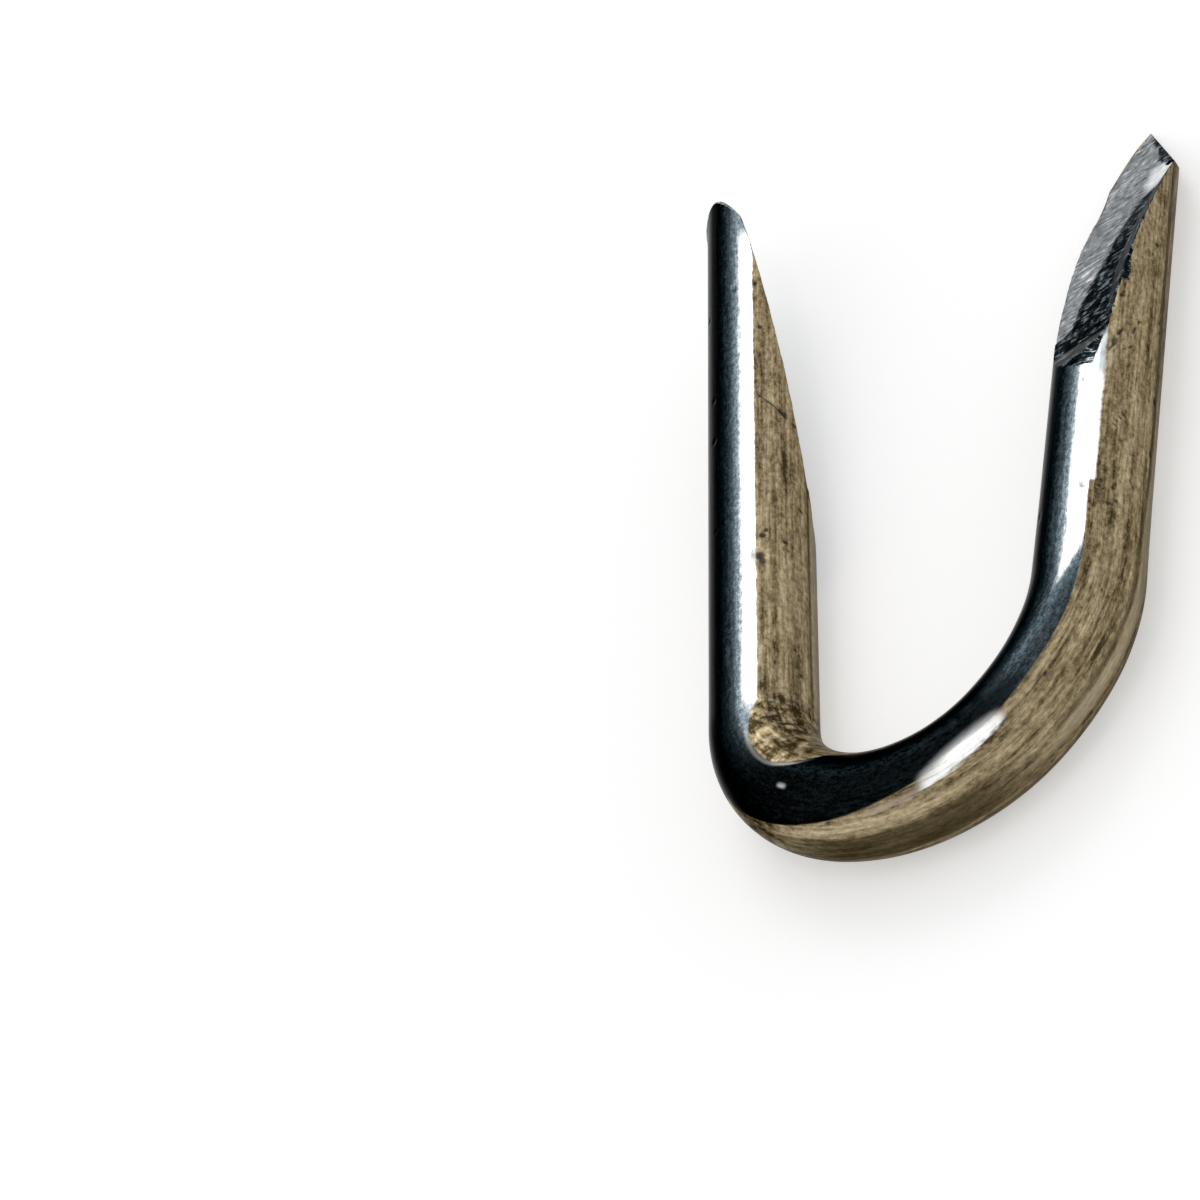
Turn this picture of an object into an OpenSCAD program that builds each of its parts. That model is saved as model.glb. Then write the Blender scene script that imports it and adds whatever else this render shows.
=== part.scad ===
// Fence staple: one length of round drawn steel wire, cropped on a slant at both ends
// and bent into a U. It lies on its side, with the points towards +Y and the crown towards -Y.

/* [Wire] */
// Diameter of the round wire
wire_d = 4; // [3.5:0.1:4.5]

/* [Crown] */
// Radius of the wire's centreline round the middle of the crown
crown_r = 6; // [4.8:0.1:8]
// Turn of the crown's bend from its middle towards the left shoulder, in degrees
left_crown_turn = 39.4; // [20:0.1:60]
// Turn of the crown's bend from its middle towards the right shoulder, in degrees
right_crown_turn = 43.4; // [20:0.1:60]
// Centreline radius of the left shoulder, where the crown runs into its leg
left_shoulder_r = 6.5; // [4.8:0.1:12]
// Centreline radius of the right shoulder
right_shoulder_r = 8.8; // [4.8:0.1:12]

/* [Legs] */
// Straight length of the left leg, from its shoulder to its tip
left_leg_len = 29.5; // [24:0.1:40]
// Straight length of the right leg, from its shoulder to its tip
right_leg_len = 26.5; // [24:0.1:40]
// Outward lean of the left leg, in degrees
left_splay = 4.6; // [0:0.1:5]
// Outward lean of the right leg, in degrees
right_splay = 2.9; // [0:0.1:5]

/* [Points] */
// Length of the slanting cut along the left leg
left_slash_len = 20.4; // [12:0.1:24]
// Length of the slanting cut along the right leg
right_slash_len = 17; // [12:0.1:24]
// Turn of the left cut from square to the staple towards the gap, in degrees
left_slash_turn = 38; // [0:1:45]
// Turn of the right cut from square to the staple towards the gap, in degrees
right_slash_turn = 14; // [0:1:45]
// Thickness of the left leg where its cut steepens towards the tip
left_tip_thick = 0.7; // [0.4:0.1:1.6]
// Thickness of the right leg where its cut steepens towards the tip
right_tip_thick = 1.3; // [0.4:0.1:1.6]
// Slope of the steeper last stretch of each cut from square across the leg, in degrees
tip_slope = 71; // [66:1:78]
// Length of the small facet on the outer side of the right tip
nib_len = 5; // [3:0.5:7]
// Angle of that facet to the leg, in degrees
nib_angle = 26; // [15:1:35]
// Length of the steep facet where the blade enters, at the heel of the cut
heel_len = 1.3; // [0.5:0.1:3]
// Depth that the heel facet reaches below the wire's surface
heel_depth = 0.45; // [0.35:0.05:0.8]
// Turn of the burnished facet beside the slant, from the slant towards the gap, in degrees
facet_turn = 21; // [10:1:35]
// Distance of the burnished facet from the wire's middle, at the heel of the cut
facet_offset = 1.2; // [0.8:0.05:1.6]
// Radius of the burnished facet's sweep along the cut, out to the wire's side
facet_r = 40; // [30:1:60]
// Angle of the burnished facet to the leg at the heel, in degrees
facet_angle = 1.8; // [0:0.1:4]

/* [Hidden] */
$fn = 96;
wire_r = wire_d / 2;
// Cutters run this far past the wire
past = 3 * wire_d;
// Bending upsets the wire: its radius grows by this much at each stretch nearer the crown
upset = 0.01;
shoulder_d = wire_d + 2 * upset;
crown_d = wire_d + 4 * upset;
// The shears squeeze the wire from this far before the heel of a cut. Its radius shrinks there
// by the second value, and by as much again on the way to the tip.
squeeze_len = 0.6;
draw_in = 0.01;
// Each thinner stretch runs on this far inside the next one
lap = 0.1;
lap_turn = 1;
// Directions from the crown's centre, with the crown's middle at -90 degrees
crown_mid = -90;
left_blend = crown_mid - left_crown_turn;
right_blend = crown_mid + right_crown_turn;
// Centres of the shoulder bends, set so that each bend runs smoothly into the crown
left_shoulder = (crown_r - left_shoulder_r) * [cos(left_blend), sin(left_blend)];
right_shoulder = (crown_r - right_shoulder_r) * [cos(right_blend), sin(right_blend)];
// Ends of the shoulder bends, where the straight legs start
left_root = left_shoulder + left_shoulder_r * [-cos(left_splay), -sin(left_splay)];
right_root = right_shoulder + right_shoulder_r * [cos(right_splay), -sin(right_splay)];
// Distance along a leg to where its cut starts to narrow its outer side
function side_reach(leg_len, slash_len, slash_turn) =
    leg_len - slash_len * (1 - sin(slash_turn)) / 2;
// Furthest reach of the staple on each side, from the crown's centre
left_x = left_root[0] - wire_r * cos(left_splay)
    - side_reach(left_leg_len, left_slash_len, left_slash_turn) * sin(left_splay);
right_x = right_root[0] + wire_r * cos(right_splay)
    + side_reach(right_leg_len, right_slash_len, right_slash_turn) * sin(right_splay);
points_y = max(
    left_root[1] + left_leg_len * cos(left_splay),
    right_root[1] + right_leg_len * cos(right_splay));
crown_y = -crown_r - crown_d / 2;
// Middle of the staple's footprint, which becomes the origin
middle = [(left_x + right_x) / 2, (crown_y + points_y) / 2];

// One bend of the wire round the origin, between two directions
module bend(radius, diameter, from, to) {
    rotate([0, 0, from])
        rotate_extrude(angle = to - from)
            translate([radius, 0])
                circle(d = diameter);
}

// Everything beyond the cut of a leg that runs up +Z: the steep heel facet, the long slant
// and the steeper stretch at the tip, all facing -Y
module cropped_end(leg_len, slash_len, tip_thick) {
    heel_z = leg_len - slash_len;
    heel_rise = heel_len / heel_depth;
    tip_rise = tan(tip_slope);
    top_z = leg_len + past * tip_rise;
    rotate([90, 0, 90])
        linear_extrude(height = 2 * past, center = true)
            polygon([
                [-wire_r - past, heel_z - past * heel_rise],
                [-wire_r + heel_depth, heel_z + heel_len],
                [wire_r - tip_thick, leg_len - tip_thick * tip_rise],
                [wire_r + past, top_z],
                [-wire_r - past, top_z]
            ]);
}

// The wire that the slant leaves standing towards +X, bounded by the burnished facet: a long
// shallow sweep where the blade rubbed the wire before the slant broke away
module beside_slant(heel_z) {
    sweep_x = facet_r * cos(facet_angle) - facet_offset;
    sweep_z = heel_z - facet_r * sin(facet_angle);
    rotate([90, 0, 90 - facet_turn])
        translate([sweep_x, sweep_z])
            cylinder(r = facet_r, h = 2 * past, center = true, $fn = 360);
}

// The outer side of a tip at +X, sheared off
module nib(leg_len) {
    translate([wire_r, 0, leg_len - nib_len])
        rotate([0, -nib_angle, 0])
            translate([0, -past, 0])
                cube([past, 2 * past, 2 * past]);
}

// A straight leg up +Z, its outer side at +X: the round shank that the post grips, and the
// cropped stretch with its slanting cut
module leg(leg_len, slash_len, slash_turn, tip_thick) {
    heel_z = leg_len - slash_len;
    shank_len = heel_z - squeeze_len;
    translate([0, 0, -lap])
        cylinder(d = wire_d, h = shank_len + lap);
    difference() {
        translate([0, 0, shank_len - lap])
            cylinder(r1 = wire_r - draw_in, r2 = wire_r - 2 * draw_in, h = leg_len - shank_len + lap);
        rotate([0, 0, -slash_turn])
            difference() {
                cropped_end(leg_len, slash_len, tip_thick);
                beside_slant(heel_z);
            }
    }
}

// The whole staple, centred over the ground that it lies on
module staple() {
    color("slategray")
        translate([-middle[0], -middle[1], crown_d / 2])
            union() {
                bend(crown_r, crown_d, left_blend, right_blend);
                translate(left_shoulder)
                    bend(left_shoulder_r, shoulder_d, -180 + left_splay, left_blend + lap_turn);
                translate(right_shoulder)
                    bend(right_shoulder_r, shoulder_d, right_blend - lap_turn, -right_splay);
                translate(left_root)
                    rotate([0, 0, left_splay])
                        rotate([-90, 180, 0])
                            leg(left_leg_len, left_slash_len, left_slash_turn, left_tip_thick);
                translate(right_root)
                    rotate([0, 0, -right_splay])
                        rotate([-90, 0, 0])
                            difference() {
                                leg(right_leg_len, right_slash_len, right_slash_turn,
                                    right_tip_thick);
                                nib(right_leg_len);
                            }
            }
}

staple();
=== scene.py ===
"""A fence staple of bright drawn steel wire, lying on its side on a pale floor."""

import math

import bmesh
import bpy
import numpy as np
from mathutils import Matrix, Vector, noise


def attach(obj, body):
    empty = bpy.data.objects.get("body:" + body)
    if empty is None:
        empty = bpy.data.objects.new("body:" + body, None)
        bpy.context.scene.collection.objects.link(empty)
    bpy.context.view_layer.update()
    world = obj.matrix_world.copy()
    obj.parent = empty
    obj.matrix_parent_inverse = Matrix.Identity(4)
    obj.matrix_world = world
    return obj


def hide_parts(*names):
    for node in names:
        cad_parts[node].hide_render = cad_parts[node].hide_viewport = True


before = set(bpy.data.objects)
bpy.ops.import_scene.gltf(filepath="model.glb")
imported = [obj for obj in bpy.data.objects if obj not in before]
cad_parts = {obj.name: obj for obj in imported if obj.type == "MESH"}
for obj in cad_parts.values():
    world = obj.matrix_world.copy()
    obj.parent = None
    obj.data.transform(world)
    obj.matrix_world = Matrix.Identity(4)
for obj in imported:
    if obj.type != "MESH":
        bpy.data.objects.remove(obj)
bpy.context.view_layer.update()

# The wire: low-carbon steel rod, drawn cold through a die to a round of 4 mm and cut to length.
# A forming machine bent it round a mandrel to a U, tighter at the left shoulder than at the right.
MM = 0.001
wire_r = 2.0 * MM
upset = 0.01 * MM
crown_r = 6.0 * MM
left_crown_turn = math.radians(39.4)
right_crown_turn = math.radians(43.4)
left_shoulder_r = 6.5 * MM
right_shoulder_r = 8.8 * MM
left_leg_len = 29.5 * MM
right_leg_len = 26.5 * MM
left_splay = math.radians(4.6)
right_splay = math.radians(2.9)
crown_height = wire_r + 2 * upset
left_blend = -math.pi / 2 - left_crown_turn
right_blend = -math.pi / 2 + right_crown_turn


def heading(angle):
    """Unit direction at an angle from +X in the plane of the staple."""
    return np.array([math.cos(angle), math.sin(angle)])


left_shoulder = (crown_r - left_shoulder_r) * heading(left_blend)
right_shoulder = (crown_r - right_shoulder_r) * heading(right_blend)
left_root = left_shoulder + left_shoulder_r * heading(math.pi + left_splay)
right_root = right_shoulder + right_shoulder_r * heading(-right_splay)
bend_lengths = [
    left_shoulder_r * (left_blend + math.pi - left_splay),
    crown_r * (right_blend - left_blend),
    right_shoulder_r * (-right_splay - right_blend),
]
# Distances along the wire from the left tip to the ends of its five stretches
stretch_ends = np.cumsum([left_leg_len, *bend_lengths, right_leg_len])

# The slanting cuts that make the points, one facing the floor and one facing up.
# Each is a steep heel, a long slant, a steeper end at the tip, and a burnished facet beside them.
left_cut = {
    "len": 20.4 * MM, "turn": math.radians(38), "tip": 0.7 * MM, "bow": 0.0, "up": -1,
    "seed": 11.0,
}
right_cut = {
    "len": 17.0 * MM, "turn": math.radians(14), "tip": 1.3 * MM, "bow": 0.27 * MM, "up": 1,
    "seed": 43.0,
}
tip_slope = math.radians(71)
heel_len = 1.3 * MM
heel_depth = 0.45 * MM
facet_turn = math.radians(21)
facet_offset = 1.0 * MM
facet_r = 40 * MM
facet_angle = math.radians(1.8)
nib_len = 5 * MM
nib_angle = math.radians(26)
# Share of a cut's length after which its slant bows
bow_start = 0.45


def side_reach(leg_len, cut):
    """Distance along a leg to where its cut starts to narrow its outer side."""
    return leg_len - cut["len"] * (1 - math.sin(cut["turn"])) / 2


left_x = (left_root[0] - wire_r * math.cos(left_splay)
          - side_reach(left_leg_len, left_cut) * math.sin(left_splay))
right_x = (right_root[0] + wire_r * math.cos(right_splay)
           + side_reach(right_leg_len, right_cut) * math.sin(right_splay))
points_y = max(left_root[1] + left_leg_len * math.cos(left_splay),
               right_root[1] + right_leg_len * math.cos(right_splay))
footprint_middle = np.array([(left_x + right_x) / 2, (points_y - crown_r - crown_height) / 2])


def wire_place(along):
    """Centre of the wire, seen from above, and its direction, at a distance from the left tip."""
    if along < stretch_ends[0]:
        run = heading(math.pi / 2 + left_splay)
        return left_root + run * (stretch_ends[0] - along) - footprint_middle, -run
    if along > stretch_ends[3]:
        run = heading(math.pi / 2 - right_splay)
        return right_root + run * (along - stretch_ends[3]) - footprint_middle, run
    bends = (
        (left_shoulder, left_shoulder_r, left_splay - math.pi),
        (np.zeros(2), crown_r, left_blend),
        (right_shoulder, right_shoulder_r, right_blend),
    )
    k = int(np.searchsorted(stretch_ends[1:3], along))
    centre, radius, start = bends[k]
    angle = start + (along - stretch_ends[k]) / radius
    return centre + radius * heading(angle) - footprint_middle, heading(angle + math.pi / 2)


def cut_level(beyond_heel, cut):
    """Height of the cut across the wire, from its middle, at a distance beyond the heel."""
    tip_start = cut["len"] - cut["tip"] * math.tan(tip_slope)
    straight = float(np.interp(
        beyond_heel,
        [-heel_len, 0, heel_len, tip_start, cut["len"]],
        [-wire_r - heel_depth, -wire_r, heel_depth - wire_r, wire_r - cut["tip"], wire_r]))
    bowed = min(max((beyond_heel / cut["len"] - bow_start) / (1 - bow_start), 0), 1)
    return straight + cut["bow"] * math.sin(math.pi * bowed) ** 2


def nib_limit(to_end):
    """How far the wire reaches outwards where the small outer facet cuts the right tip."""
    return wire_r - math.tan(nib_angle) * (nib_len - to_end)


def right_tip_trim():
    """How much shorter the outer facet leaves the right leg."""
    for to_end in np.arange(0, nib_len, 0.01 * MM):
        level = cut_level(right_cut["len"] - to_end, right_cut)
        inner = (level * math.sin(right_cut["turn"])
                 - math.sqrt(max(wire_r**2 - level**2, 0)) * math.cos(right_cut["turn"]))
        if inner < nib_limit(to_end):
            return to_end
    return 0.0


left_heel = left_cut["len"]
right_heel = stretch_ends[4] - right_cut["len"]
last_ring = stretch_ends[4] - right_tip_trim()
# The rings of the wire lie closer together along the cuts, and closest at the tips.
# Each pair is the end of a stretch and the spacing along it, in mm.
ring_spacing = (
    (0, 0.0), (0.4, 0.03), (3, 0.07), (left_heel / MM + 2, 0.11), (right_heel / MM - 2, 0.2),
    (right_heel / MM + 3, 0.08), (last_ring / MM - 1, 0.08), (last_ring / MM, 0.04),
)
rings = []
for (start, _), (end, spacing) in zip(ring_spacing, ring_spacing[1:]):
    steps = max(2, round((end - start) / spacing))
    rings += [(start + (end - start) * i / steps) * MM for i in range(steps)]
rings.append(last_ring)
rings = np.array(rings)
# Vertices round the wire, and the mm round it in one radian
sides = 144
mm_per_radian = wire_r / MM

# The bends are a little thicker than the legs, and run into them over a short blend
blend_len = 1 * MM
swell_ends = [
    stretch_ends[0] - blend_len, stretch_ends[0] + blend_len, stretch_ends[1], stretch_ends[2],
    stretch_ends[3] - blend_len, stretch_ends[3] + blend_len]
ring_radii = np.interp(rings, swell_ends, wire_r + upset * np.array([0, 1, 1.5, 1.5, 1, 0]))

line = bpy.data.meshes.new("bent_line")
line.from_pydata(
    [(*wire_place(s)[0], crown_height) for s in rings],
    [(i, i + 1) for i in range(len(rings) - 1)], [])
swell = line.attributes.new("swell", "FLOAT", "POINT")
swell.data.foreach_set("value", ring_radii)
wire = bpy.data.objects.new("drawn_wire", line)
bpy.context.scene.collection.objects.link(wire)

sweep = bpy.data.node_groups.new("wire along its bend", "GeometryNodeTree")
for name, kind in (("Line", "NodeSocketGeometry"), ("Sides", "NodeSocketInt"),
                   ("Steel", "NodeSocketMaterial")):
    sweep.interface.new_socket(name, in_out="INPUT", socket_type=kind)
sweep.interface.new_socket("Wire", in_out="OUTPUT", socket_type="NodeSocketGeometry")


def add_node(tree, kind, settings=(), sockets=()):
    """Adds a node to a tree: its settings first, then the values or links of its sockets."""
    node = tree.nodes.new(kind)
    for name, value in dict(settings).items():
        if name == "stops":
            for spare in list(node.color_ramp.elements)[1:]:
                node.color_ramp.elements.remove(spare)
            for k, (at, colour) in enumerate(value):
                stop = node.color_ramp.elements.new(at) if k else node.color_ramp.elements[0]
                stop.position = at
                stop.color = (*colour, 1)
        else:
            setattr(node, name, value)
    for name, value in dict(sockets).items():
        value = getattr(value, "socket", value)
        if isinstance(value, bpy.types.NodeSocket):
            tree.links.new(value, node.inputs[name])
        else:
            node.inputs[name].default_value = value
    return node


given = add_node(sweep, "NodeGroupInput").outputs
swell_read = add_node(
    sweep, "GeometryNodeInputNamedAttribute", {"data_type": "FLOAT"}, {"Name": "swell"})
curve = add_node(sweep, "GeometryNodeMeshToCurve", {}, {"Mesh": given["Line"]})
thick = add_node(sweep, "GeometryNodeSetCurveRadius", {}, {
    "Curve": curve.outputs["Curve"], "Radius": swell_read.outputs["Attribute"]})
circle = add_node(sweep, "GeometryNodeCurvePrimitiveCircle", {"mode": "RADIUS"}, {
    "Resolution": given["Sides"], "Radius": 1.0})
skin = add_node(sweep, "GeometryNodeCurveToMesh", {}, {
    "Curve": thick.outputs["Curve"], "Profile Curve": circle.outputs["Curve"]})
solid = add_node(sweep, "GeometryNodeRealizeInstances", {}, {"Geometry": skin.outputs["Mesh"]})
clad = add_node(sweep, "GeometryNodeSetMaterial", {}, {
    "Geometry": solid.outputs["Geometry"], "Material": given["Steel"]})
add_node(sweep, "NodeGroupOutput", {}, {"Wire": clad.outputs["Geometry"]})

steel = bpy.data.materials.new("bright drawn steel")
modifier = wire.modifiers.new("sweep", "NODES")
modifier.node_group = sweep
sweep_inputs = {item.name: item.identifier for item in sweep.interface.items_tree
                if item.in_out == "INPUT"}
modifier[sweep_inputs["Sides"]] = sides
modifier[sweep_inputs["Steel"]] = steel
evaluated = wire.evaluated_get(bpy.context.evaluated_depsgraph_get())
staple_mesh = bpy.data.meshes.new_from_object(evaluated)
bpy.data.objects.remove(wire)

# The cropped ends: two blades shear the wire on a slant. The blade first rubs a burnished heel and
# band into the wire, their dark colour a painted reflection of dark surroundings, and the rest of
# the slant breaks away rough and grey.
step_deg = 360 / sides
heel_turn = math.radians(10)
on_slant, on_facet, on_nib = 1, 2, 3
# Vertices on each side of a cut's middle, and how the slant and the burnished facet share them
cut_side = 24
slant_share = 0.75
# Distance before the heel over which the vertices draw together towards the cut
settle_len = 4 * MM
# How far the facet's border wanders, across the slant and round the wire
border_wander = 0.05 * MM
border_turn = math.radians(1.8)
thinnest_facet = 0.05 * MM
# Where the burnished band ends on the slant: beyond the heel, and across from the middle, in mm
band_edge = ((2.3, -2.4), (2.6, -1.2), (2.9, -0.82), (4.85, -0.72), (6.3, -0.4), (9.1, 0.22),
             (10.5, 0.42), (10.9, 0.9), (11.6, 1.7), (12.2, 2.4))
# Where the dark facet of the right tip starts, in the same way
nib_edge = ((12.1, 2.3), (12.4, 1.2), (13.0, 0.85), (14.3, 0.25), (15.4, -0.2), (16.6, -0.6))
# Where the burnished heel starts round the wire: degrees outwards from the cut's middle, and
# distance beyond the heel in mm
heel_rim = ((-49, 2.4), (-16, 0.3), (4, -0.35), (16, -0.48), (28, -0.42), (34, 0.4), (39, 1.25),
            (46, 4.0))
# The burnished heel ends this far round the wire in degrees, and this far beyond the heel in mm
heel_rim_turn = 60
heel_rim_len = 6


def rough(x, y, seed):
    """Smooth noise from -1 to 1 on two coordinates."""
    return noise.noise(Vector((x, y, seed)))


def along_line(points, at):
    """Value of a line of (place, value) points at a place."""
    return float(np.interp(at, *zip(*points)))


def cut_angle(cut):
    """Direction that a cut faces, round the wire from its outer side."""
    return math.pi / 2 + cut["turn"] if cut["up"] > 0 else 1.5 * math.pi - cut["turn"]


def on_round(turned):
    """Place on the round of the wire, turned outwards from a cut's middle."""
    return wire_r * np.array([math.sin(turned), -math.cos(turned)])


def cut_ring(beyond_heel, cut):
    """One ring of a cut leg: the places of its vertices outwards and upwards, the face that each
    lies on, how far each is inside the grey break, and how far past the burnished rim."""
    side = -cut["up"]
    face_angle = cut_angle(cut)
    middle = round(face_angle / math.radians(step_deg))
    level = min(max(cut_level(beyond_heel, cut), -wire_r), wire_r)
    turn = math.acos(-level / wire_r)
    even = math.radians(cut_side * step_deg)
    spread = even + (heel_turn - even) * min(max(beyond_heel / settle_len + 1, 0), 1)
    centre = face_angle + (math.radians(middle * step_deg) - face_angle) * min(
        max(-beyond_heel / settle_len, 0), 1)
    gap_turn = out_turn = max(turn, spread if beyond_heel <= 0 else heel_turn)
    half = math.sqrt(max(wire_r**2 - level**2, 0))
    opened = beyond_heel > 0 and turn > heel_turn
    foot = None
    if opened:
        sweep_x = facet_r * math.cos(facet_angle) - facet_offset
        reach = sweep_x - math.sqrt(
            facet_r**2 - (beyond_heel + facet_r * math.sin(facet_angle))**2)
        lean = math.pi / 2 - facet_turn
        foot = (reach - level * math.sin(lean)) / math.cos(lean)
        foot += border_wander * rough(beyond_heel / MM * 2.6, 3, cut["seed"])
        if foot < half - thinnest_facet and abs(reach) < wire_r:
            out_turn = lean - math.acos(reach / wire_r) + math.pi / 2
            out_turn += border_turn * rough(beyond_heel / MM * 3.1, 7, cut["seed"])
            out_turn = min(out_turn, turn)
        else:
            foot = None
    limit = nib_limit(cut["len"] - beyond_heel) if side < 0 else math.inf
    ahead = np.array([math.cos(centre), math.sin(centre)])
    across = side * np.array([-math.sin(centre), math.cos(centre)])
    top = on_round(out_turn)
    places = np.zeros((sides, 2))
    faces, broken, rubbed = np.zeros(sides), np.full(sides, -1.0), np.full(sides, 1.0)
    reached = beyond_heel / MM * right_cut["len"] / cut["len"]
    for j in range(sides):
        offset = side * ((j - middle + sides // 2) % sides - sides // 2)
        if abs(offset) <= cut_side:
            u = offset / cut_side
            if opened:
                left = np.array([-half, level])
                if foot is None:
                    bend = left + (top - left) * slant_share
                else:
                    bend = np.array([foot, level])
                if u < slant_share:
                    at = left + (bend - left) * (u + 1) / (slant_share + 1)
                else:
                    at = bend + (top - bend) * (u - slant_share) / (1 - slant_share)
                faces[j] = on_slant if u < slant_share or foot is None else on_facet
            else:
                at = on_round(u * (out_turn if u > 0 else gap_turn))
                faces[j] = on_slant if beyond_heel > 0 and at[1] < level else 0
                at[1] = max(at[1], level)
            if -at[1] * ahead[0] + at[0] * across[0] > limit:
                at[0] = (limit + at[1] * ahead[0]) / across[0]
                faces[j] = on_nib
        else:
            back = (offset - cut_side) % sides / (sides - 2 * cut_side)
            at = on_round(out_turn + (2 * math.pi - gap_turn - out_turn) * back)
        places[j] = -at[1] * ahead + at[0] * across
        if faces[j]:
            if faces[j] == on_slant:
                broken[j] = along_line(band_edge, reached) - at[0] / MM
            if side < 0:
                broken[j] = min(broken[j], along_line(nib_edge, reached) - at[0] / MM)
        else:
            outwards = math.degrees(side * (math.atan2(places[j, 1], places[j, 0]) - face_angle))
            outwards = (outwards + 180) % 360 - 180
            rubbed[j] = reached - along_line(heel_rim, outwards)
            if (abs(outwards) > heel_rim_turn or reached > heel_rim_len
                    or (side > 0 and outwards < 0)):
                rubbed[j] = -1
    over = places[:, 0] > limit - 1e-9
    if over.any():
        crease = places[faces == on_nib] if (faces == on_nib).any() else places[over]
        places[over, 0] = limit
        places[over, 1] = np.minimum(places[over, 1], crease[:, 1].min())
        faces[over] = on_nib
        broken[over] = -1
        rubbed[over] = 1
    return places, faces, broken, rubbed


count = len(rings)
around = np.radians(np.arange(sides) * step_deg)
section = np.zeros((count, sides, 2))
face_kind = np.zeros((count, sides))
broken_by = np.full((count, sides), -1.0)
rubbed_by = np.full((count, sides), -1.0)
for i, s in enumerate(rings):
    if s < left_heel + settle_len:
        section[i], face_kind[i], broken_by[i], rubbed_by[i] = cut_ring(left_heel - s, left_cut)
    elif s > right_heel - settle_len:
        section[i], face_kind[i], broken_by[i], rubbed_by[i] = cut_ring(s - right_heel, right_cut)
    else:
        section[i] = ring_radii[i] * np.stack([np.cos(around), np.sin(around)], -1)
angle = np.arctan2(section[..., 1], section[..., 0])
along = np.repeat(rings[:, None], sides, 1)
on_wire = face_kind == 0
# The bending die pressed the wire: thinner round the left of the crown, flatter on its right
along_bends = np.array([29.5, 33.5, 37.0, 40.5, 43.5, 47.0, 50.0, 54.0]) * MM
pressed_wide = np.interp(rings, along_bends, [1, 0.975, 0.94, 0.95, 0.985, 1.03, 1.02, 1])
pressed_high = np.interp(rings, along_bends, [1, 0.975, 0.94, 0.95, 0.975, 0.98, 0.99, 1])
section *= np.stack([pressed_wide, pressed_high], -1)[:, None, :]
depth = np.hypot(section[..., 0], section[..., 1])

# The marks in the skin: die lines that run along the wire, a flat where the machine gripped the
# right leg, nicks from the grip, wrinkles inside the tight left shoulder, and small pits.
die_line_depth = 0.006 * MM
nick_depth = 0.05 * MM
crease_depth = 0.06 * MM
rub_depth = 0.04 * MM
# Width of a nick and of the rubbed heel's border in mm, and depth of a pit as a share of its size
nick_width = 0.075
rub_border = 0.2
pit_depth = 0.3
# All of the marks fade out over this distance at the tips
end_fade = 0.3 * MM
die_lines = np.array([[noise.noise(Vector((math.cos(a) * 9, math.sin(a) * 9, s / MM * 0.04)))
                       for a in angle[i]] for i, s in enumerate(rings)])
sink = die_line_depth * (0.5 + 0.5 * die_lines)
grip_start = stretch_ends[3] + 2.9 * MM
grip_angle = math.radians(73)
grip_spread = math.radians(40)
# Distance of the flat from the wire's middle
grip_flat = 1.945 * MM
grip_end = right_heel + 2 * MM
gripped = (along > grip_start) & (along < grip_end) & (
    np.abs(angle - grip_angle) < grip_spread)
flat_sink = depth - grip_flat / np.cos(np.clip(angle - grip_angle, -grip_spread, grip_spread))
sink += np.where(gripped & (flat_sink > 0), flat_sink, 0)


def from_line(points, width):
    """How near each vertex is to a drawn line of (along in mm, around in degrees): 1 on it."""
    best = np.full(along.shape, 1e9)
    for (s0, a0), (s1, a1) in zip(points, points[1:]):
        x0, y0 = s0, math.radians(a0) * mm_per_radian
        x1, y1 = s1, math.radians(a1) * mm_per_radian
        px, py = along / MM, angle * mm_per_radian
        f = ((px - x0) * (x1 - x0) + (py - y0) * (y1 - y0)) / ((x1 - x0)**2 + (y1 - y0)**2)
        f = np.clip(f, 0, 1)
        best = np.minimum(best, np.hypot(px - x0 - f * (x1 - x0), py - y0 - f * (y1 - y0)))
    return np.exp(-(best / width)**2)


def skin_noise(per_radian, per_mm, seed):
    """Noise at each vertex, by its angle round the wire and its distance along it."""
    return np.array([[rough(a * per_radian, s / MM * per_mm, seed) for a in angle[i]]
                     for i, s in enumerate(rings)])


# Each mark is placed by its distance from the left tip in mm. The right leg starts at its root.
root = stretch_ends[3] / MM
nicks = (
    ((root + 1.5, 66), (root + 2.0, 53)), ((root + 2.2, 49), (root + 2.9, 41)),
    ((root + 1.8, 44), (root + 2.3, 35)), ((root + 2.75, 58), (root + 2.5, 51)),
    ((root + 2.7, 85), (root + 3.05, 66)), ((root + 2.8, 80), (root + 3.1, 62)),
    ((root + 9.5, 62), (root + 10.3, 51)), ((root + 10.2, 57), (root + 11.3, 41)),
    ((root + 10.8, 36), (root + 11.6, 28)), ((root + 9.8, 45), (root + 10.2, 34)),
    ((root + 5.9, 47), (root + 6.5, 38)), ((13.1, 118), (14.2, 150)), ((13.9, 147), (14.5, 163)),
)
breaks = skin_noise(5.0, 4.0, 8.0)
# How strongly each vertex lies in a nick, crease or pit, which the finish darkens as painted shade
mark_shade = np.zeros(along.shape)
for nick in nicks:
    cut_in = from_line(nick, nick_width) * np.clip(0.65 + breaks, 0, 1)
    sink += nick_depth * cut_in
    mark_shade = np.maximum(mark_shade, cut_in)

# The wrinkles' middle and size, along the wire in mm and round it in radians
wrinkle_at = (stretch_ends[0] / MM + 1.9, 2.3)
wrinkle_size = (2.0, 0.5)
wrinkled = np.exp(-((along / MM - wrinkle_at[0]) / wrinkle_size[0])**2
                  - ((angle - wrinkle_at[1]) / wrinkle_size[1])**2)
ripples = skin_noise(5.5, 3.0, 5.0)
creased = wrinkled * np.clip(ripples * 4 - 0.4, 0, 1)
sink += crease_depth * creased
mark_shade = np.maximum(mark_shade, creased)

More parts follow.
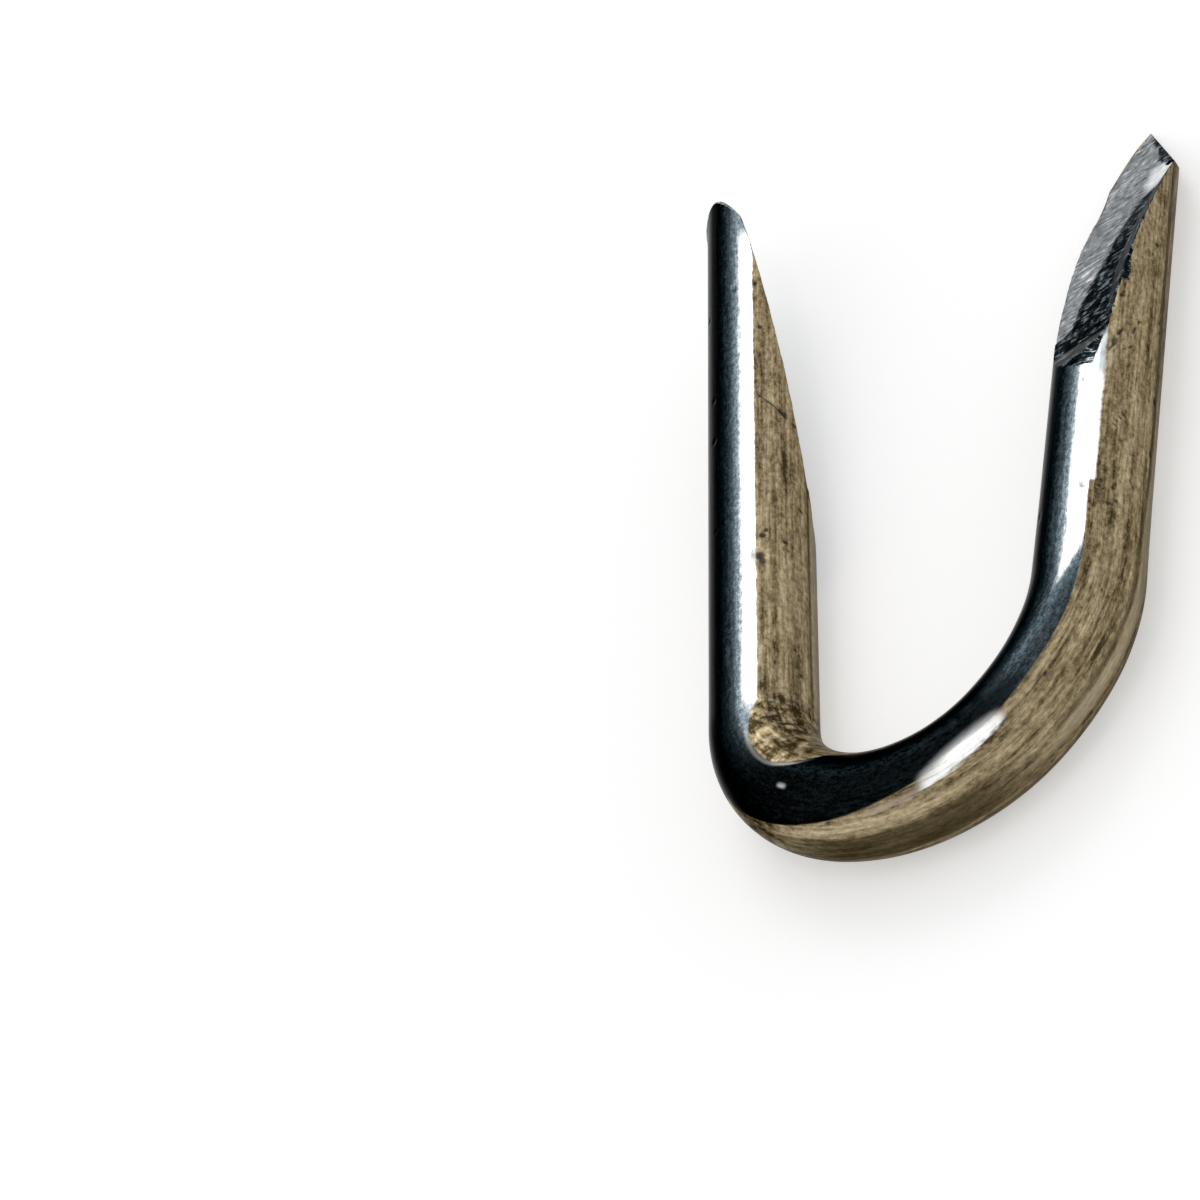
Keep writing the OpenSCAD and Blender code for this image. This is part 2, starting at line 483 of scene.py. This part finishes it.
# Pits as (distance along in mm, angle round the wire, size in mm)
rng = np.random.default_rng(7)
pits = [(9.0, 2.1, 0.16), (20.8, 2.16, 0.15), (21.1, 2.1, 0.2), (19.1, 2.9, 0.14),
        (21.3, 2.53, 0.16), (22.2, 2.04, 0.3), (22.5, 2.1, 0.22), (root + 2.7, 1.28, 0.2),
        (24.5, 2.2, 0.15), (27.0, 2.7, 0.12), (root + 8.3, -0.12, 0.22), (root + 5.6, -0.1, 0.2)]
for _ in range(90):
    pits.append((rng.uniform(6, last_ring / MM - 6), rng.uniform(-math.pi, math.pi),
                 rng.uniform(0.08, 0.16)))
for s0, a0, size in pits:
    near = np.abs(along[:, 0] / MM - s0) < 3 * size
    turned = (angle[near] - a0 + math.pi) % (2 * math.pi) - math.pi
    far = np.hypot(along[near] / MM - s0, turned * mm_per_radian) / size
    hole = np.exp(-far**2 * 1.6)
    sink[near] += pit_depth * size * MM * hole
    mark_shade[near] = np.maximum(mark_shade[near], hole)
# The burnished heel is rubbed a little into the round of the wire
sink += rub_depth * np.clip(rubbed_by / rub_border, 0, 1)
sink[~on_wire] = 0
sink *= np.clip((last_ring - along) / end_fade, 0, 1) * np.clip(along / end_fade, 0, 1)
section *= ((depth - sink) / np.maximum(depth, 1e-9))[..., None]

# The broken slant is rough: shallow ridges run across it, and the dark facet is chipped.
# The depths and the border's width are in mm.
torn_depth = 0.05
ridge_depth = 0.03
grain_depth = 0.022
chip_depth = 0.008
torn_border = 0.25
torn_fade = 0.6 * MM
place = np.zeros((count, sides, 3))
outward = np.zeros((count, sides, 3))
for i, s in enumerate(rings):
    centre, run = wire_place(s)
    out = np.array([run[1], -run[0], 0.0])
    place[i] = np.array([*centre, crown_height]) + section[i, :, :1] * out
    place[i, :, 2] += section[i, :, 1]
    outward[i] = np.cos(angle[i])[:, None] * out
    outward[i, :, 2] = np.sin(angle[i])
for leg_cut, heel, sign in ((left_cut, left_heel, -1), (right_cut, right_heel, 1)):
    face_angle = cut_angle(leg_cut)
    for i in np.flatnonzero(sign * (rings - heel) > 0):
        _, run = wire_place(rings[i])
        out = np.array([run[1], -run[0], 0.0])
        ahead = math.cos(face_angle) * out + np.array([0, 0, math.sin(face_angle)])
        fade = min(1.0, min(rings[i], last_ring - rings[i]) / torn_fade)
        for j in np.flatnonzero(face_kind[i] > 0):
            x, y = rings[i] / MM, angle[i, j]
            coarse = rough(x * 1.3, y * 2, leg_cut["seed"] + 20)
            fine = rough(x * 5, y * 5, leg_cut["seed"] + 30)
            torn = min(max(broken_by[i, j] / torn_border + 0.5, 0), 1)
            deep = torn * (torn_depth + ridge_depth * coarse + grain_depth * fine)
            deep += chip_depth * (coarse + 1)
            place[i, j] -= ahead * MM * fade * deep

staple_mesh.vertices.foreach_set("co", place.reshape(-1))
as_drawn = staple_mesh.attributes.new("as_drawn", "FLOAT_VECTOR", "POINT")
as_drawn.data.foreach_set("vector", np.concatenate(
    [section, along[..., None]], -1).reshape(-1) / MM)
facing_out = staple_mesh.attributes.new("facing", "FLOAT_VECTOR", "POINT")
facing_out.data.foreach_set("vector", outward.reshape(-1))
for name, values in (("broken", broken_by), ("rubbed", rubbed_by), ("mark_shade", mark_shade)):
    amount = staple_mesh.attributes.new(name, "FLOAT", "POINT")
    amount.data.foreach_set("value", values.reshape(-1))

# Where the wire comes to a point, vertices of a ring meet: the edges between them are dissolved,
# which closes both ends. The rings run the other way round than the circle of the sweep, which
# leaves every face pointing inwards, so the faces are reversed.
meeting = 0.002 * MM
sharp_from = math.radians(38)
shell = bmesh.new()
shell.from_mesh(staple_mesh)
bmesh.ops.dissolve_degenerate(shell, dist=meeting, edges=shell.edges)
bmesh.ops.reverse_faces(shell, faces=shell.faces)
shell.to_mesh(staple_mesh)
shell.free()
for face in staple_mesh.polygons:
    face.use_smooth = True
staple_mesh.set_sharp_from_angle(angle=sharp_from)
staple = bpy.data.objects.new("drawn_staple", staple_mesh)
bpy.context.scene.collection.objects.link(staple)

# The finish: bright wire, its colours painted by the way each part faces. Its upper flank is
# smooth as glass and blue-black, a painted reflection of dark surroundings, a painted highlight
# runs beside it as a white strip, and the rest is a streaky khaki brown, a painted reflection of a
# brown surface below.


class Tone:
    """A socket in a node tree, so that sums and products of sockets add Math nodes."""

    tree = None

    def __init__(self, socket):
        self.socket = socket

    @staticmethod
    def node(kind, settings=(), sockets=(), output=0):
        """Adds a node to the tree in hand, and gives one of its outputs."""
        return Tone(add_node(Tone.tree, kind, settings, sockets).outputs[output])

    @staticmethod
    def math(operation, *values):
        """A Math node on any values."""
        return Tone.node("ShaderNodeMath", {"operation": operation}, enumerate(values))

    def __add__(self, other):
        return self.math("ADD", self, other)

    def __mul__(self, other):
        return self.math("MULTIPLY", self, other)

    def __sub__(self, other):
        return self.math("SUBTRACT", self, other)

    def __rsub__(self, other):
        return self.math("SUBTRACT", other, self)

    __radd__ = __add__
    __rmul__ = __mul__

    def rise(self, low, high):
        """0 below low, 1 above high, smooth in between."""
        return Tone.node("ShaderNodeMapRange", {"interpolation_type": "SMOOTHSTEP"},
                         {"Value": self, "From Min": low, "From Max": high})

    def between(self, low, high, soft):
        """1 between two values, with soft ends."""
        return self.rise(low - soft, low + soft) * (1 - self.rise(high - soft, high + soft))


def mixed(factor, a, b):
    """Mixes two colours."""
    return Tone.node("ShaderNodeMix", {"data_type": "RGBA"}, {0: factor, 6: a, 7: b}, 2)


def ramp(factor, *stops):
    """The colours of (place, colour) stops, by a factor."""
    return Tone.node("ShaderNodeValToRGB", {"stops": stops}, {0: factor})


def stored(name, output):
    """What the mesh stores at its vertices: output 1 for a vector, 2 for a number."""
    return Tone.node("ShaderNodeAttribute", {"attribute_name": name}, {}, output)


def grain(scale, stretch, detail, seed):
    """Noise on coordinates stretched along the wire."""
    spread = Tone.node("ShaderNodeMapping", {}, {
        "Vector": drawn, "Location": (seed, 0, 0), "Scale": (scale, scale, scale * stretch)})
    return Tone.node("ShaderNodeTexNoise", {}, {
        "Vector": spread, "Scale": 1.0, "Detail": detail, "Roughness": 0.6})


steel.use_nodes = True
steel.node_tree.nodes.clear()
Tone.tree = steel.node_tree
# Places are in mm across and along the wire, and turns round it in radians
drawn = stored("as_drawn", 1)
facing = stored("facing", 1)
broken = stored("broken", 2)
rubbed = stored("rubbed", 2)
marks = stored("mark_shade", 2)
split = Tone.node("ShaderNodeSeparateXYZ", {}, {0: drawn})
out_mm, up_mm = split, Tone(split.socket.node.outputs[1])
along_mm = Tone(split.socket.node.outputs[2])
around_turn = Tone.math("ARCTAN2", up_mm, out_mm)
gap_turn = Tone.math("ARCTAN2", up_mm * -1.0, out_mm * -1.0)


def facing_dot(direction):
    """How far the surface of the round wire faces a direction."""
    return Tone.node("ShaderNodeVectorMath", {"operation": "DOT_PRODUCT"},
                     {0: facing, 1: direction}, 1)


streak = grain(3.2, 0.03, 4.0, 3.0)
fine_streak = grain(10.0, 0.05, 5.0, 9.0)
mottle = grain(2.4, 0.35, 5.0, 17.0)
grit = grain(7.0, 0.5, 4.0, 29.0)
speckle = grain(15.0, 0.7, 2.0, 71.0)

# The dark flank faces up and to the left: a painted reflection of dark surroundings, with a
# painted blue-grey sheen that is blackest away from the highlight strip and darkened round the
# crown as painted shade. The khaki cuts into it inside the left shoulder, down to a thin pale rim
# of painted reflection.
dark_edge = 0.65
wobble = (streak - 0.5) * 0.04 + (grit - 0.5) * 0.03
from_foot = (along_mm - 33.2) * (1 / 1.9)
past_foot = around_turn + wobble - 1.535 - from_foot * from_foot * (
    along_mm.rise(33.0, 34.4) * 0.15 + 0.15)
dark = (facing_dot((-0.454, 0.012, 0.891)) + wobble).rise(
    dark_edge - 0.012, dark_edge + 0.012) * (1 - past_foot.rise(-0.03, 0.03))
foot_rim = past_foot.between(-0.09, -0.02, 0.03) * along_mm.between(31.4, 35.2, 0.5)
side_x = facing_dot((1.0, 0.0, 0.0))
crown_shade = 1 - along_mm.between(33.0, 43.6, 1.6) * 0.85 - (
    along_mm.between(43.6, 49.0, 1.6) * 0.3)
sheen = (side_x + along_mm.rise(44.0, 50.0) * 0.12).rise(-0.55, 0.14) * crown_shade
dark_flank_reflection = ramp(
    sheen * 0.71 + crown_shade * 0.1 + (fine_streak - 0.5) * 0.35 + (grit - 0.5) * 0.6
    + (speckle - 0.5) * 0.5 - 0.01,
    (0.0, (0.001, 0.0012, 0.0013)), (0.14, (0.0044, 0.0066, 0.0075)),
    (0.45, (0.014, 0.020, 0.023)), (0.7, (0.058, 0.078, 0.090)), (1.0, (0.22, 0.26, 0.29)))
dark_flank_reflection = mixed(foot_rim * 0.5, dark_flank_reflection, (0.30, 0.31, 0.27, 1))

# The khaki brown is a painted reflection of a brown surface below, over long streaks from the die,
# grit and a crumpled patch inside the left shoulder. A dark line inside a pale one on the outer
# side is painted reflection too, and the underside of the crown is darkened as painted shade.
crumple = grain(1.9, 0.9, 3.0, 83.0)
crumpled = (crumple - 0.56) * along_mm.between(29.4, 35.0, 1.0) * 0.55
khaki = ramp(
    streak * 0.26 + fine_streak * 0.22 + mottle * 0.18 + grit * 0.24 + speckle * 0.1
    + crumpled - along_mm.rise(38.0, 44.0) * 0.022 + along_mm.rise(50.0, 56.0) * 0.012,
    (0.405, (0.045, 0.032, 0.015)), (0.465, (0.175, 0.134, 0.073)),
    (0.52, (0.31, 0.246, 0.146)), (0.60, (0.54, 0.45, 0.29)))
line_drift = around_turn + wobble + along_mm.rise(49.0, 56.0) * 0.2 - 0.11
far_turn = gap_turn + wobble
on_left_leg = 1 - along_mm.rise(28.5, 30.5)
on_right_leg = along_mm.rise(42.0, 45.0)
# Painted reflection: a pale line and a dark line along the outer side
pale_reflected_line = line_drift.between(-0.42, -0.1, 0.05) * on_right_leg * (
    1 - along_mm.rise(57.0, 60.0)) + far_turn.between(0.05, 0.36, 0.04) * on_left_leg
dark_reflected_line = line_drift.between(-0.06, 0.05, 0.04) * on_right_leg + (
    far_turn.between(-0.07, 0.01, 0.03) * on_left_leg)
# Painted shade: the underside of the crown is darkened
underside_shade = (around_turn + wobble * 2).between(-0.42, 0.26, 0.1) * (
    along_mm.between(35.5, 42.0, 1.6))
khaki = mixed(pale_reflected_line * 0.5, khaki, (0.47, 0.40, 0.28, 1))
khaki = mixed(dark_reflected_line * 0.7, khaki, (0.05, 0.036, 0.02, 1))
khaki = mixed(underside_shade * 0.82, khaki, (0.04, 0.029, 0.012, 1))
# Nicks, creases and pits are darkened as painted shade in their hollows
khaki = mixed(marks.rise(0.15, 0.8) * 0.85, khaki, (0.025, 0.018, 0.011, 1))

# A painted highlight beside the dark flank: a white strip on each leg, dimmed towards the right
# heel and bright on the grip flat, a spot on the crown with a dimmer tail, and a small painted
# glint near the left shoulder
heel_mm = right_heel / MM
bright = ramp(fine_streak * 0.6 + grit * 0.4,
              (0.34, (0.50, 0.51, 0.52)), (0.5, (0.93, 0.93, 0.92)))
ragged = (fine_streak - 0.5) * 0.10 + (grit - 0.5) * 0.08
left_highlight = (side_x + ragged).rise(0.04, 0.26) * along_mm.between(3.3, 30.0, 0.9)
highlight_foot = along_mm + (around_turn + ragged) * 5.2 - 1.53 * 5.2
right_highlight = (side_x + ragged).rise(-0.03, 0.16) * highlight_foot.rise(root - 2.3, root - 1.3) * (
    1 - along_mm.rise(heel_mm - 0.3, heel_mm + 0.6))
grip_flat_highlight = (around_turn + ragged * 0.5).between(1.08, 1.40, 0.04) * along_mm.between(
    root + 3.0, heel_mm + 1.5, 0.12)
dimmed_highlight = along_mm.rise(heel_mm - 1.6, heel_mm - 0.6) * 0.9
# Painted highlight spot on the crown, with a dimmer painted tail
from_spot = along_mm - 41.45
spot_turn = around_turn + ragged - 0.78 - from_spot * 0.053
spot_run = from_spot * (1 / 1.75)
spot_size = 1 - spot_run * spot_run
spot = spot_turn.rise(-0.02, 0.05) * (1 - (spot_turn - spot_size * 0.19).rise(-0.05, 0.3)) * (
    spot_size.rise(0.0, 0.45))
spot_tail = spot_turn.between(0.0, 0.1, 0.05) * along_mm.between(38.0, 40.4, 0.5)
glint = around_turn.between(1.18, 1.25, 0.04) * along_mm.between(34.75, 35.05, 0.12)
flank = mixed(left_highlight + right_highlight, dark_flank_reflection, bright)
skin_colour = mixed(grip_flat_highlight, mixed(dark, khaki, flank), mixed(
    dimmed_highlight, bright, (0.33, 0.36, 0.38, 1)))
skin_colour = mixed(spot_tail * 0.5, skin_colour, (0.42, 0.34, 0.30, 1))
skin_colour = mixed(spot + glint * 0.6, skin_colour, bright)
# Painted shade again in the nicks, creases and pits, also over the highlight
skin_colour = mixed(marks.rise(0.3, 0.9) * 0.5, skin_colour, (0.03, 0.028, 0.025, 1))

# The cuts: the grey break is scored across, and its dark band, like the heel and the tip facet a
# painted reflection of dark surroundings, is chipped along the border
chips = grain(3.0, 0.9, 5.0, 41.0)
across_cut = Tone.node("ShaderNodeMapping", {}, {
    "Vector": drawn, "Rotation": (0.0, 0.5, 0.35), "Scale": (1.3, 2.0, 11.0)})
scores = Tone.node("ShaderNodeTexNoise", {}, {
    "Vector": across_cut, "Scale": 1.0, "Detail": 5.0, "Roughness": 0.65})
tooth = grain(0.8, 3.4, 2.0, 61.0)
grey_mask = (broken + (tooth - 0.5) * 0.9 + (chips - 0.5) * 0.25).rise(-0.05, 0.05)
rub_mask = (rubbed + (chips - 0.5) * 0.5 + (grit - 0.5) * 0.3).rise(-0.05, 0.05)
grey = ramp(chips * 0.4 + scores * 0.6,
            (0.38, (0.08, 0.09, 0.10)), (0.46, (0.24, 0.26, 0.27)),
            (0.55, (0.38, 0.40, 0.42)), (0.65, (0.88, 0.90, 0.91)))
# A painted glint on the grey break near the right tip
tip_glint = along_mm.between(heel_mm + 11.1, heel_mm + 12.7, 0.3) * out_mm.rise(0.3, 0.9)
grey = mixed(tip_glint * 0.8, grey, (0.93, 0.95, 0.96, 1))
# Painted reflection: the burnished band, heel and tip facet, dark as if facing dark surroundings
dark_facet_reflection = ramp(chips * 0.5 + scores * 0.5,
             (0.46, (0.003, 0.005, 0.006)), (0.53, (0.016, 0.022, 0.026)),
             (0.6, (0.28, 0.33, 0.36)))
colour = mixed(rub_mask, skin_colour, mixed(grey_mask, dark_facet_reflection, grey))

skin_rough = 0.36 + (fine_streak - 0.5) * 0.25 - dark * 0.14
grey_on = rub_mask * grey_mask
roughness = skin_rough * (1 - grey_on) + grey_on * (0.42 + (chips - 0.5) * 0.4)
relief = fine_streak * 0.35 + grit * 0.3 + grey_on * (chips + scores) * 1.3
bump = Tone.node("ShaderNodeBump", {}, {
    "Strength": 0.3, "Distance": 0.02 * MM, "Height": relief})
shader = Tone.node("ShaderNodeBsdfPrincipled", {}, {
    "Base Color": colour, "Metallic": 1.0, "Specular Tint": (0.42, 0.42, 0.42, 1),
    "Roughness": roughness, "Normal": bump})
add_node(Tone.tree, "ShaderNodeOutputMaterial", {}, {"Surface": shader})

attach(staple, "root")
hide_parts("staple")

# The floor and the light: a wide pale sheet under a plain bright room, with one soft box behind
# the points and a small one overhead.
floor_half = 3.0
floor_glow = 0.41
room_light = 0.6
room_seen = 1.0
floor_mesh = bpy.data.meshes.new("pale_floor")
floor_mesh.from_pydata([(-floor_half, -floor_half, 0), (floor_half, -floor_half, 0),
                        (floor_half, floor_half, 0), (-floor_half, floor_half, 0)],
                       [], [(0, 1, 2, 3)])
floor = bpy.data.objects.new("pale_floor", floor_mesh)
bpy.context.scene.collection.objects.link(floor)
paper = bpy.data.materials.new("pale paper")
paper.use_nodes = True
paper_shader = paper.node_tree.nodes["Principled BSDF"]
paper_shader.inputs["Base Color"].default_value = (0.86, 0.86, 0.86, 1)
paper_shader.inputs["Roughness"].default_value = 0.9
paper_shader.inputs["Specular IOR Level"].default_value = 0.0
paper_shader.inputs["Emission Color"].default_value = (1, 1, 1, 1)


def seen_rays():
    """1 for what the camera, gloss and glass see, and 0 for other rays."""
    rays = add_node(Tone.tree, "ShaderNodeLightPath").outputs
    camera_or_gloss = Tone.math("MAXIMUM", rays["Is Camera Ray"], rays["Is Glossy Ray"])
    return Tone.math("MAXIMUM", camera_or_gloss, rays["Is Transmission Ray"])


Tone.tree = paper.node_tree
glow = seen_rays() * floor_glow
paper.node_tree.links.new(glow.socket, paper_shader.inputs["Emission Strength"])
floor_mesh.materials.append(paper)

world = bpy.data.worlds.new("bright room")
bpy.context.scene.world = world
world.use_nodes = True
room = world.node_tree.nodes["Background"]
room.inputs["Color"].default_value = (1, 1, 1, 1)
Tone.tree = world.node_tree
room_level = Tone.node("ShaderNodeMapRange", {}, {
    "Value": seen_rays(), "To Min": room_light, "To Max": room_seen})
world.node_tree.links.new(room_level.socket, room.inputs["Strength"])


def soft_box(name, direction, distance, width, height, radiance):
    """A rectangular lamp that faces the staple from a direction."""
    lamp = bpy.data.lights.new(name, "AREA")
    lamp.shape = "RECTANGLE"
    lamp.size = width
    lamp.size_y = height
    lamp.energy = radiance * math.pi * width * height
    box = bpy.data.objects.new(name, lamp)
    bpy.context.scene.collection.objects.link(box)
    away = Vector(direction).normalized()
    box.location = away * distance
    box.rotation_euler = away.to_track_quat("Z", "X").to_euler()


soft_box("box_behind", (-0.15, 0.71, 0.68), distance=0.6, width=0.20, height=0.34, radiance=2.2)
soft_box("box_overhead", (0.06, -0.26, 0.97), distance=0.6, width=0.12, height=0.12, radiance=2.2)

# The camera: a long lens that looks down on the staple from beside its crown. Its numbers come
# from fitting a staple's outline to the photograph.
view_az = 0.5245
view_el = 0.6001
view_roll = -0.6805
frame_px = 1200
crown_px = (915.5, 673.8)
px_per_wire = 113.38
distance_wires = 1 / 0.0204
wire_d = 2 * wire_r
back = Vector((math.sin(view_az) * math.cos(view_el),
               -math.cos(view_az) * math.cos(view_el), math.sin(view_el)))
level_right = Vector((math.cos(view_az), math.sin(view_az), 0))
level_up = back.cross(level_right)
right = math.cos(view_roll) * level_right + math.sin(view_roll) * level_up
up = -math.sin(view_roll) * level_right + math.cos(view_roll) * level_up
aside = (crown_px[0] - frame_px / 2) / px_per_wire * wire_d
above = -(crown_px[1] - frame_px / 2) / px_per_wire * wire_d
crown_centre = Vector((-footprint_middle[0], -footprint_middle[1], crown_height))
lens_data = bpy.data.cameras.new("camera")
lens_data.sensor_width = 36
lens_data.lens = px_per_wire * distance_wires / frame_px * lens_data.sensor_width
lens_data.clip_start = 0.01
lens_data.clip_end = 100
camera = bpy.data.objects.new("camera", lens_data)
bpy.context.scene.collection.objects.link(camera)
camera.matrix_world = Matrix.Translation(
    crown_centre - aside * right - above * up + distance_wires * wire_d * back
) @ Matrix((right, up, back)).transposed().to_4x4()
bpy.context.scene.camera = camera
bpy.context.scene.view_settings.view_transform = "Standard"
